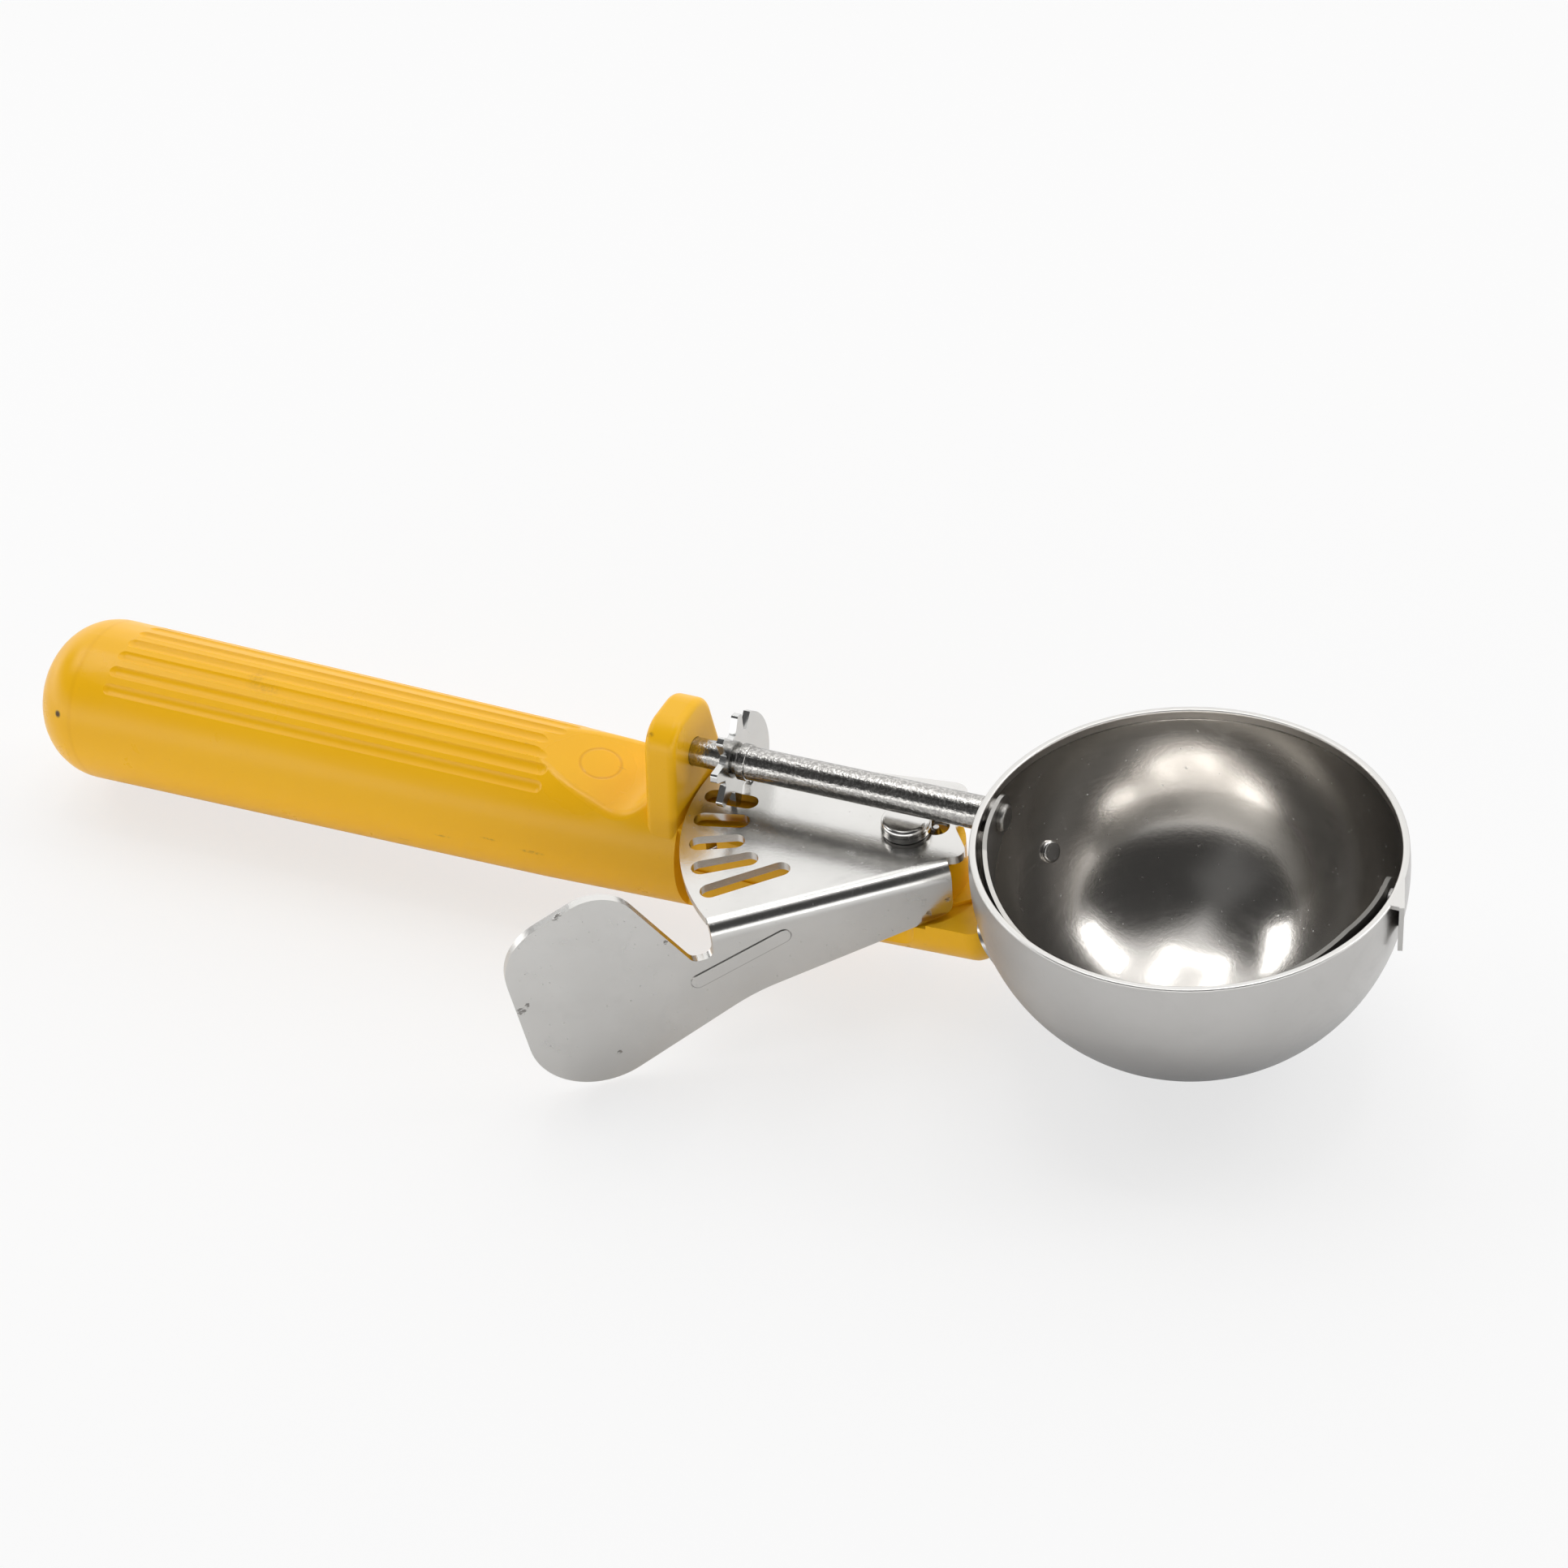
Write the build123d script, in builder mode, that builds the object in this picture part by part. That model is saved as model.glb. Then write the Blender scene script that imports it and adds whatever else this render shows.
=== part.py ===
from build123d import *
import math
import os

# Lever ice cream scoop: a steel bowl on a moulded handle. A thumb lever turns a star wheel through slots in
# its plate, and the wheel's shaft sweeps a scraper blade round the inside of the bowl.
# Frame: millimetres, origin at the centre of the bowl's rim, +X along the shaft away from the handle,
# +Z out of the bowl's mouth. The thumb tab lies on the -Y side.

# ---------------------------------------------------------------- driving dimensions
AXIS_DEPTH = 2.8  # shaft axis below the rim

BOWL_RADIUS = 27.2
BOWL_DEPTH = 3.5  # centre of the bowl's sphere below the rim
BOWL_WALL = 0.9
RIM_ROUND = 0.25

SHAFT_RADIUS = 2.25
JOURNAL_RADIUS = 1.95
JOURNAL_SINK = 0.4  # journal's end inside the ear's back
JOURNAL_ROUND = 0.3
BEAD_RADIUS = 2.5
BEAD_LENGTH = 1.3
BEAD_ROUND = 0.2
BEAD_GAP = 0.4  # between the wheel and the bead
SPIGOT_RADIUS = 1.5
PEEN_RADIUS = 1.85
PEEN_HEIGHT = 0.9
PEEN_ROUND = 0.5

BLADE_THICKNESS = 0.55
BLADE_WIDTH = 9.0
BLADE_END_RADIUS = 2.9
BLADE_SHOULDER = 9.0  # from the axis out to where the blade has its full width
BLADE_GAP = 0.85  # between the blade and the bowl's inner wall
BLADE_REST_ANGLE = 190.0  # blade's middle about +X, from +Y towards +Z

PIVOT_PIN_RADIUS = 1.2
PIN_HEAD_RADIUS = 1.9
PIN_HEAD_HEIGHT = 0.5
PIN_HEAD_ROUND = 0.3
PIN_COLLAR_RADIUS = 1.7
PIN_COLLAR_GAP = 0.15  # between the collar and the bowl
PIN_RECESS = 0.4  # pin's end inside the bowl's outer face

LIP_THICKNESS = 0.6
LIP_HEIGHT = 6.9
LIP_SHOULDER = 5.0
LIP_LENGTH = 5.4
LIP_TIP_WIDTH = 0.6
LIP_STANDOFF = 1.35  # from the bowl's tip out to the free end of the lip
LIP_START_Y = 1.5

LEVER_PIVOT_X = -38.4
PLATE_DEPTH = 5.7  # plate's top face below the shaft axis
PLATE_THICKNESS = 1.2
PLATE_RIM = 1.25  # steel left outside the slots
PLATE_LUG = (9.7, -2.3)  # plate's corner beside the fold, from the pivot
PLATE_WAIST = (5.9, 2.4)
PLATE_FAR = (4.5, 11.3)
PLATE_BACK_SLOPE = 7.0  # degrees between the plate's back edge and the shaft
PLATE_CORNER_RADIUS = 1.6
PLATE_FAR_RADIUS = 2.2

LEVER_DIVISIONS = 35  # slots that a full circle would have
SLOT_WIDTH = 2.7
SLOT_FIRST_ANGLE = 3.5
SLOT_OUTER_SPAN = 3.6  # from the wheel's face out to a slot's end
SLOT_INNER_SPANS = (1.3, 1.3, 1.1, 2.6, 6.0)

FLANGE_ANGLE = 39.8  # flange against the handle at rest
FLANGE_DISTANCE = 9.4  # pivot to the flange's outer face
BEND_RADIUS = 2.2  # outer radius of the fold
FLANGE_END = 3.1  # flange's bowl end, along the fold from the pivot
FLANGE_TIP = 3.0
FLANGE_TIP_ROUND = 1.8
FLANGE_TIP_DEPTH = 7.4  # flange's lower corner below the plate's top
NOTCH_EDGE = -28.8  # relief notch beside the fold, along the fold from the pivot
NOTCH_DEPTH = 4.9
NOTCH_WIDTH = 2.8
NOTCH_RADIUS = 1.3
TAB_TOP_CORNER = (-41.0, 10.9)  # along the fold from the pivot, above the plate's top
TAB_LEFT_CORNER = (-56.0, 4.4)
TAB_FOOT_CORNER = (-52.7, -26.0)
TAB_KNEE = (-24.3, -12.6)
TAB_TOP_ROUND = 6.0
TAB_LEFT_ROUND = 8.0
TAB_FOOT_ROUND = 9.5
TAB_KNEE_ROUND = 24.0
RIB_START = (-32.2, -8.6)
RIB_END = (-18.7, -4.0)
RIB_WIDTH = 2.0
RIB_HEIGHT = 0.12

RIVET_SHANK_RADIUS = 1.6
RIVET_HEAD_RADIUS = 3.25
RIVET_HEAD_HEIGHT = 1.0
RIVET_HEAD_ROUND = 0.6
RIVET_TAIL_RADIUS = 2.6
RIVET_TAIL_HEIGHT = 1.2
RIVET_TAIL_CLEARANCE = 1.0  # round the tail in its pocket under the handle
WASHER_RADIUS = 3.35
WASHER_THICKNESS = 0.55
WAVE_WASHER_RADIUS = 3.1
WAVE_WASHER_THICKNESS = 0.4
SPACER_RADIUS = 2.9

WHEEL_REACH = 23.6  # lever's pivot to the wheel's face
WHEEL_THICKNESS = 0.95
WHEEL_TIP_RADIUS = 6.65
WHEEL_ROOT_RADIUS = 4.3
WHEEL_LOBE_RADIUS = 7.9
WHEEL_LOBE_CENTRE = (0.8, -2.1)  # from the shaft's axis
WHEEL_LOBE_FLAT = 5.45  # flat under the lobe, just above the lever's plate at rest
WHEEL_DIVISIONS = 8
WHEEL_TEETH = 5
TOOTH_ROOT_HALF = 1.15
TOOTH_TIP_HALF = 0.58
TOOTH_ROUND = 0.45
TOOTH_REST_ANGLE = 255.0  # the tooth that stands in the first slot
LOBE_START_ANGLE = -68.0  # about the shaft's axis, where the flat begins
LOBE_END_ANGLE = 62.0  # about the lobe's own centre

SPRING_WIRE = 0.8
SPRING_MEAN_RADIUS = 3.9
SPRING_PITCH = 0.86
SPRING_FULL_TURNS = 2
SPRING_START_ANGLE = 112.4
SPRING_HOOK_ANGLE = 29.0
SPRING_SINK = 2.4  # lowest turn below the tongue's top
SPRING_SIDE_GAP = 0.5
LEG_LENGTH = 24.5
LEG_HOOK_ANGLE = 33.0
LEG_HOOK_LENGTH = 2.8
LEG_SIDE_GAP = 0.3
HOOK_HOLE_RADIUS = 1.8

HANDLE_AXIS_DEPTH = 17.2
HANDLE_BUTT_X = -175.8
HANDLE_BUTT_RADIUS = 12.1
HANDLE_BUTT_ROUND = 8.7
HANDLE_GRIP_END_X = -91.0
HANDLE_GRIP_RADIUS = 10.75
HANDLE_SHOULDER_RADIUS = 10.0
NOSE_X = -25.0
NOSE_RADIUS = 8.3
NOSE_ROUND = 2.5
NOSE_TOP_DEPTH = 16.4  # below the rim, beyond the tongue's round end
NOSE_HALF_WIDTH = 6.0  # there, on the side away from the thumb tab
NOSE_SIDE_DEPTH = 20.0
TONGUE_TOP_GAP = 0.7  # between the lever plate and the tongue below it
TONGUE_HALF_WIDTH = 7.7
TONGUE_END_X = -33.0
TONGUE_END_ROUND = 4.0
KEEL_FOOT_DEPTH = 17.0  # below the rim
KEEL_FRONT = 7.4  # keel's side under the flange
KEEL_OUT = 7.4  # pivot to the keel's slanted side
SWEEP_RADIUS = 10.3  # the flange's end swings inside this

EAR_GAP = 0.33  # between the lever's plate and the ear
EAR_THICKNESS = 4.5
EAR_TOP = 3.9  # above the rim
EAR_TOP_HALF = 5.2
EAR_FOOT_HALF = 9.5  # at the handle's axis
EAR_CORNER = 4.4
EAR_ROUND = 1.0
SLOPE_START_X = -93.0
SLOPE_FOOT_DEPTH = 11.6  # below the rim, where the sloping top meets the ear
SLOPE_FOOT_ROUND = 5.0
SLOPE_EDGE_ROUND = 1.8

FLUTE_COUNT = 7
FLUTE_PITCH_ANGLE = 13.4
FLUTE_RADIUS = 1.5
FLUTE_DEPTH = 0.33
FLUTE_START_X = -160.5
FLUTE_END_X = -90.2

TANG_WIDTH = 10.0
TANG_THICKNESS = 2.2
TANG_START_X = -112.0
TANG_TOP_DEPTH = 17.2  # below the rim
TANG_GAP = 0.05
SADDLE_THICKNESS = 1.3
SADDLE_HALF_WIDTH = 11.4
SADDLE_TOP_DEPTH = 13.6
SADDLE_FOOT_DEPTH = 23.4
SADDLE_ROUND = 2.0
SADDLE_SEAT = 0.05  # between the bowl and the saddle
NOSE_SEAT = 0.15  # between the saddle and the handle's nose
BOWL_RIVET_RADIUS = 1.0
BOWL_RIVET_HEAD_RADIUS = 1.5
BOWL_RIVET_HEAD_HEIGHT = 0.5
BOWL_RIVET_HEAD_ROUND = 0.35
BOWL_RIVET_Y = 9.0
BOWL_RIVET_DEPTH = 11.8  # below the centre of the bowl's sphere

LEVER_TRAVEL = 36.0

FIT = 0.03  # between pieces that are pressed or riveted together
RUNNING = 0.06  # radial clearance of a shaft in its bore
SEAT_GAP = 0.1  # between flat pieces stacked on the pivot

# ---------------------------------------------------------------- places worked out from them
AXIS_Z = -AXIS_DEPTH
BOWL_INNER = BOWL_RADIUS - BOWL_WALL
BOWL_CENTRE = (0, 0, -BOWL_DEPTH)
SHAFT_AXIS = Axis((0, 0, AXIS_Z), (1, 0, 0))
BLADE_OUTER = BOWL_INNER - BLADE_GAP
BLADE_INNER = BLADE_OUTER - BLADE_THICKNESS

PLATE_TOP = AXIS_Z - PLATE_DEPTH
PLATE_BOTTOM = PLATE_TOP - PLATE_THICKNESS
TONGUE_TOP = PLATE_BOTTOM - TONGUE_TOP_GAP
HANDLE_AXIS_Z = -HANDLE_AXIS_DEPTH
TANG_TOP = -TANG_TOP_DEPTH
TANG_BOTTOM = TANG_TOP - TANG_THICKNESS
PIVOT = Vector(LEVER_PIVOT_X, 0, 0)
FOLD_ALONG = Vector(math.cos(math.radians(FLANGE_ANGLE)), math.sin(math.radians(FLANGE_ANGLE)), 0)
FOLD_OUT = Vector(math.sin(math.radians(FLANGE_ANGLE)), -math.cos(math.radians(FLANGE_ANGLE)), 0)
WHEEL_X = LEVER_PIVOT_X - WHEEL_REACH
BEAD_X = WHEEL_X + BEAD_GAP
SLOT_OUTER_RADIUS = WHEEL_REACH + SLOT_OUTER_SPAN
PLATE_RADIUS = SLOT_OUTER_RADIUS + SLOT_WIDTH / 2 + PLATE_RIM
EAR_FRONT_X = LEVER_PIVOT_X - PLATE_RADIUS - EAR_GAP
EAR_BACK_X = EAR_FRONT_X - EAR_THICKNESS
JOURNAL_END_X = EAR_BACK_X + JOURNAL_SINK

BOWL_PLANE = Plane(origin=BOWL_CENTRE, x_dir=(1, 0, 0), z_dir=(0, -1, 0))
SHAFT_PLANE = Plane(origin=(0, 0, AXIS_Z), x_dir=(1, 0, 0), z_dir=(0, -1, 0))
HANDLE_PLANE = Plane(origin=(0, 0, HANDLE_AXIS_Z), x_dir=(1, 0, 0), z_dir=(0, -1, 0))
HANDLE_LINE = Axis((0, 0, HANDLE_AXIS_Z), (1, 0, 0))
SLOT_PITCH = 360 / LEVER_DIVISIONS
TOOTH_PITCH = 360 / WHEEL_DIVISIONS

RIM_RADIUS = math.sqrt(BOWL_RADIUS**2 - BOWL_DEPTH**2)
LIP_ROOT = (math.sqrt(RIM_RADIUS**2 - LIP_START_Y**2), LIP_START_Y)
LIP_REACH = RIM_RADIUS + LIP_STANDOFF - LIP_ROOT[0]
LIP_FREE = (LIP_ROOT[0] + LIP_REACH, LIP_START_Y - math.sqrt(LIP_LENGTH**2 - LIP_REACH**2))
LIP_PLANE = Plane(
    origin=(*LIP_ROOT, 0),
    x_dir=(LIP_REACH, LIP_FREE[1] - LIP_START_Y, 0),
    z_dir=(LIP_FREE[1] - LIP_START_Y, -LIP_REACH, 0),
)
LIP_SHOULDER_X = LIP_LENGTH - LIP_TIP_WIDTH - (LIP_HEIGHT - LIP_SHOULDER)

SPACER_TOP = PLATE_BOTTOM - SEAT_GAP
WAVE_FOOT = PLATE_TOP + SEAT_GAP
WASHER_FOOT = WAVE_FOOT + WAVE_WASHER_THICKNESS + FIT
HEAD_FOOT = WASHER_FOOT + WASHER_THICKNESS + FIT
TAIL_TOP = TANG_BOTTOM - FIT

COIL_FOOT = TONGUE_TOP - SPRING_SINK
COIL_TURNS = SPRING_FULL_TURNS + (SPRING_START_ANGLE - SPRING_HOOK_ANGLE) / 360
COIL_HEIGHT = COIL_TURNS * SPRING_PITCH
RECESS_FLOOR = COIL_FOOT - SPRING_WIRE / 2 - SEAT_GAP
LEG_DIRECTION = Vector(-1, 0, 0).rotate(Axis.Z, SPRING_START_ANGLE - 90)
LEG_START = PIVOT + Vector(SPRING_MEAN_RADIUS, 0, COIL_FOOT).rotate(Axis.Z, SPRING_START_ANGLE)
LEG_BEND = LEG_START + LEG_DIRECTION * LEG_LENGTH
LEG_HOOK = LEG_DIRECTION.rotate(Axis.Z, LEG_HOOK_ANGLE)


def radial_plane(side):
    """Plane through the centre of the bowl's sphere, facing one of the two rivets at the handle's end."""
    reach = math.sqrt(BOWL_RADIUS**2 - BOWL_RIVET_Y**2 - BOWL_RIVET_DEPTH**2)
    return Plane(origin=BOWL_CENTRE, z_dir=(-reach, side * BOWL_RIVET_Y, -BOWL_RIVET_DEPTH))


def in_plan(along, out):
    """Point of the lever's plan, measured along the fold and away from the pivot."""
    point = PIVOT + FOLD_ALONG * along + FOLD_OUT * out
    return (point.X, point.Y)


def on_flange(point):
    """Point of the flange's outer face, given along the fold and above the plate's top."""
    return (point[0], PLATE_TOP + point[1])


# ---------------------------------------------------------------- bowl
with BuildPart() as bowl:
    with BuildSketch(BOWL_PLANE):
        with BuildLine():
            outside, inside = (
                CenterArc((0, 0), radius, -90, 90 + math.degrees(math.asin(BOWL_DEPTH / radius)))
                for radius in (BOWL_RADIUS, BOWL_INNER)
            )
            Line(outside @ 1, inside @ 1)
            Line(outside @ 0, inside @ 0)
        make_face()
    revolve(axis=Axis.Z)
    fillet(bowl.edges().group_by(Axis.Z)[-1], RIM_ROUND)
    # lip at the tip: it leaves the rim at a tangent and hangs down beside the bowl
    with BuildSketch():
        Polygon(LIP_ROOT, LIP_FREE, (BOWL_INNER, LIP_FREE[1]), (BOWL_INNER, LIP_START_Y), align=None)
    extrude(amount=-LIP_THICKNESS)
    with BuildSketch(LIP_PLANE):
        with BuildLine():
            Polyline(
                (LIP_LENGTH - LIP_TIP_WIDTH, -LIP_HEIGHT),
                (LIP_LENGTH, -LIP_HEIGHT),
                (LIP_LENGTH, 0),
                (0, 0),
                (0, -LIP_SHOULDER),
                (LIP_SHOULDER_X, -LIP_SHOULDER),
            )
            RadiusArc(
                (LIP_SHOULDER_X, -LIP_SHOULDER),
                (LIP_LENGTH - LIP_TIP_WIDTH, -LIP_HEIGHT),
                LIP_HEIGHT - LIP_SHOULDER,
            )
        make_face()
    extrude(amount=LIP_THICKNESS)
    with Locations(BOWL_CENTRE):
        Sphere(BOWL_INNER, mode=Mode.SUBTRACT)
    # hole for the shaft and, at the tip, a blind one for the scraper's pin
    for radius, reach in (
        (SHAFT_RADIUS, -BOWL_RADIUS),
        (PIVOT_PIN_RADIUS, BOWL_RADIUS - PIN_RECESS + RUNNING),
    ):
        with BuildSketch(Plane.YZ):
            with Locations((0, AXIS_Z)):
                Circle(radius + RUNNING)
        extrude(amount=reach, mode=Mode.SUBTRACT)
    for side in (-1, 1):
        with BuildSketch(radial_plane(side)):
            Circle(BOWL_RIVET_RADIUS + FIT)
        extrude(amount=BOWL_RADIUS + 1, mode=Mode.SUBTRACT)
bowl.part.label = "bowl"

# two rivets hold the bowl to the saddle: domed inside, flush outside
RIVET_SEAT = math.sqrt(BOWL_INNER**2 - BOWL_RIVET_HEAD_RADIUS**2) - FIT
with BuildPart() as bowl_rivets:
    for side in (-1, 1):
        with BuildSketch(radial_plane(side).offset(RIVET_SEAT)):
            Circle(BOWL_RIVET_HEAD_RADIUS)
        extrude(amount=-BOWL_RIVET_HEAD_HEIGHT)
    inner = bowl_rivets.edges().sort_by_distance(BOWL_CENTRE)[:2]
    fillet(inner, BOWL_RIVET_HEAD_ROUND)
    for side in (-1, 1):
        with BuildSketch(radial_plane(side).offset(RIVET_SEAT)):
            Circle(BOWL_RIVET_RADIUS)
        extrude(amount=BOWL_RADIUS + SADDLE_SEAT + SADDLE_THICKNESS - RIVET_SEAT)
bowl_rivets.part.label = "bowl_rivets"

# ---------------------------------------------------------------- scraper
BLADE_OUT = Vector(0, 1, 0).rotate(Axis.X, BLADE_REST_ANGLE)
with BuildPart() as scraper_blade:
    with BuildSketch(Plane(origin=(0, 0, AXIS_Z), x_dir=BLADE_OUT, z_dir=(1, 0, 0))):
        Circle(BLADE_END_RADIUS)
        Polygon(
            (0, -BLADE_END_RADIUS),
            (BLADE_SHOULDER, -BLADE_WIDTH / 2),
            (BLADE_OUTER, -BLADE_WIDTH / 2),
            (BLADE_OUTER, BLADE_WIDTH / 2),
            (BLADE_SHOULDER, BLADE_WIDTH / 2),
            (0, BLADE_END_RADIUS),
            align=None,
        )
    extrude(amount=BLADE_OUTER, both=True)
    with Locations((0, 0, AXIS_Z)):
        Sphere(BLADE_OUTER, mode=Mode.INTERSECT)
        Sphere(BLADE_INNER, mode=Mode.SUBTRACT)
    for radius, reach in ((SPIGOT_RADIUS, -BOWL_RADIUS), (PIVOT_PIN_RADIUS, BOWL_RADIUS)):
        with BuildSketch(Plane.YZ):
            with Locations((0, AXIS_Z)):
                Circle(radius + FIT)
        extrude(amount=reach, mode=Mode.SUBTRACT)
scraper_blade.part.label = "scraper_blade"

# shaft: journal in the handle's ear, bead behind the wheel, riveted over inside the blade
PEEN_SEAT = math.sqrt(BLADE_INNER**2 - PEEN_RADIUS**2) - FIT
BEAD_END = BEAD_X + BEAD_LENGTH
with BuildPart() as scraper_shaft:
    with BuildSketch(SHAFT_PLANE):
        with BuildLine():
            FilletPolyline(
                (JOURNAL_END_X, 0),
                (JOURNAL_END_X, JOURNAL_RADIUS),
                (BEAD_X, JOURNAL_RADIUS),
                (BEAD_X, BEAD_RADIUS),
                (BEAD_END, BEAD_RADIUS),
                (BEAD_END, SHAFT_RADIUS),
                (-BLADE_OUTER - FIT, SHAFT_RADIUS),
                (-BLADE_OUTER - FIT, SPIGOT_RADIUS),
                (-PEEN_SEAT, SPIGOT_RADIUS),
                (-PEEN_SEAT, PEEN_RADIUS),
                (PEEN_HEIGHT - PEEN_SEAT, PEEN_RADIUS),
                (PEEN_HEIGHT - PEEN_SEAT, 0),
                radius=[0, JOURNAL_ROUND, 0, BEAD_ROUND, BEAD_ROUND, 0, 0, 0, 0, 0, PEEN_ROUND, 0],
                close=True,
            )
        make_face()
    revolve(axis=SHAFT_AXIS)
scraper_shaft.part.label = "scraper_shaft"

PIN_SEAT = math.sqrt(BLADE_INNER**2 - PIN_HEAD_RADIUS**2) - FIT
COLLAR_END = BOWL_INNER - PIN_COLLAR_GAP
with BuildPart() as scraper_pin:
    with BuildSketch(SHAFT_PLANE):
        with BuildLine():
            FilletPolyline(
                (PIN_SEAT - PIN_HEAD_HEIGHT, 0),
                (PIN_SEAT - PIN_HEAD_HEIGHT, PIN_HEAD_RADIUS),
                (PIN_SEAT, PIN_HEAD_RADIUS),
                (PIN_SEAT, PIVOT_PIN_RADIUS),
                (BLADE_OUTER + FIT, PIVOT_PIN_RADIUS),
                (BLADE_OUTER + FIT, PIN_COLLAR_RADIUS),
                (COLLAR_END, PIN_COLLAR_RADIUS),
                (COLLAR_END, PIVOT_PIN_RADIUS),
                (BOWL_RADIUS - PIN_RECESS, PIVOT_PIN_RADIUS),
                (BOWL_RADIUS - PIN_RECESS, 0),
                radius=[0, PIN_HEAD_ROUND, 0, 0, 0, 0, 0, 0, 0, 0],
                close=True,
            )
        make_face()
    revolve(axis=SHAFT_AXIS)
scraper_pin.part.label = "scraper_pin"

# ---------------------------------------------------------------- star wheel
with BuildPart() as star_wheel:
    with BuildSketch(Plane.YZ.offset(WHEEL_X)):
        with Locations((0, AXIS_Z)):
            Circle(WHEEL_ROOT_RADIUS)
        with BuildLine():
            foot_angle = math.degrees(
                math.asin((WHEEL_LOBE_FLAT + WHEEL_LOBE_CENTRE[1]) / WHEEL_LOBE_RADIUS)
            )
            lobe = CenterArc(
                (WHEEL_LOBE_CENTRE[0], AXIS_Z + WHEEL_LOBE_CENTRE[1]),
                WHEEL_LOBE_RADIUS,
                -foot_angle,
                LOBE_END_ANGLE + foot_angle,
            )
            Polyline(
                lobe @ 0,
                (WHEEL_LOBE_FLAT / math.tan(math.radians(-LOBE_START_ANGLE)), AXIS_Z - WHEEL_LOBE_FLAT),
                (0, AXIS_Z),
                lobe @ 1,
            )
        make_face()
        for tooth in range(WHEEL_TEETH):
            with Locations(Location((0, AXIS_Z, 0), (0, 0, TOOTH_REST_ANGLE - tooth * TOOTH_PITCH))):
                Polygon(
                    (0, -TOOTH_ROOT_HALF),
                    (WHEEL_ROOT_RADIUS, -TOOTH_ROOT_HALF),
                    (WHEEL_TIP_RADIUS, -TOOTH_TIP_HALF),
                    (WHEEL_TIP_RADIUS, TOOTH_TIP_HALF),
                    (WHEEL_ROOT_RADIUS, TOOTH_ROOT_HALF),
                    (0, TOOTH_ROOT_HALF),
                    align=None,
                )
    extrude(amount=-WHEEL_THICKNESS)
    corners = star_wheel.edges().filter_by(Axis.X)
    fillet(
        corners.filter_by(lambda edge: math.hypot(edge.center().Y, edge.center().Z - AXIS_Z) > WHEEL_TIP_RADIUS),
        TOOTH_ROUND,
    )
    with BuildSketch(Plane.YZ.offset(WHEEL_X)):
        with Locations((0, AXIS_Z)):
            Circle(JOURNAL_RADIUS + FIT)
    extrude(amount=-WHEEL_THICKNESS, mode=Mode.SUBTRACT)
star_wheel.part.label = "star_wheel"

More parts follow.
